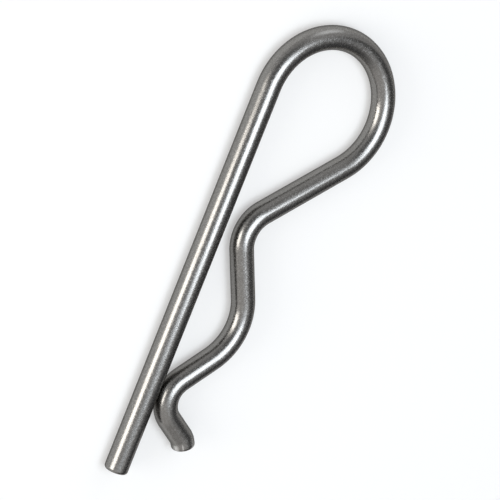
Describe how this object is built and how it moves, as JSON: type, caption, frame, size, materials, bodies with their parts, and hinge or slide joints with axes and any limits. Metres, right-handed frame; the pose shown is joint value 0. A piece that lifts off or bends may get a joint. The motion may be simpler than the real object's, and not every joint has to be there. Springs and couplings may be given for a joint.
{
  "type": "hitch r clip",
  "caption": "Spring wire R clip with a straight leg, a round eye and a wavy sprung leg, for locking a hitch pin or shaft through its cross hole.",
  "frame": {"origin": "on the straight leg's axis, at the centre of the shaft that the clip grips", "axes": "+X along the straight leg to its cut tip, +Y from the straight leg to the sprung leg, +Z across the flat clip, along the gripped shaft's axis"},
  "size_m": [0.0803, 0.0269, 0.004],
  "materials": {
    "wire": "satin drawn stainless steel wire"
  },
  "bodies": {
    "root": {"clip_wire": "wire"}
  },
  "joints": []
}
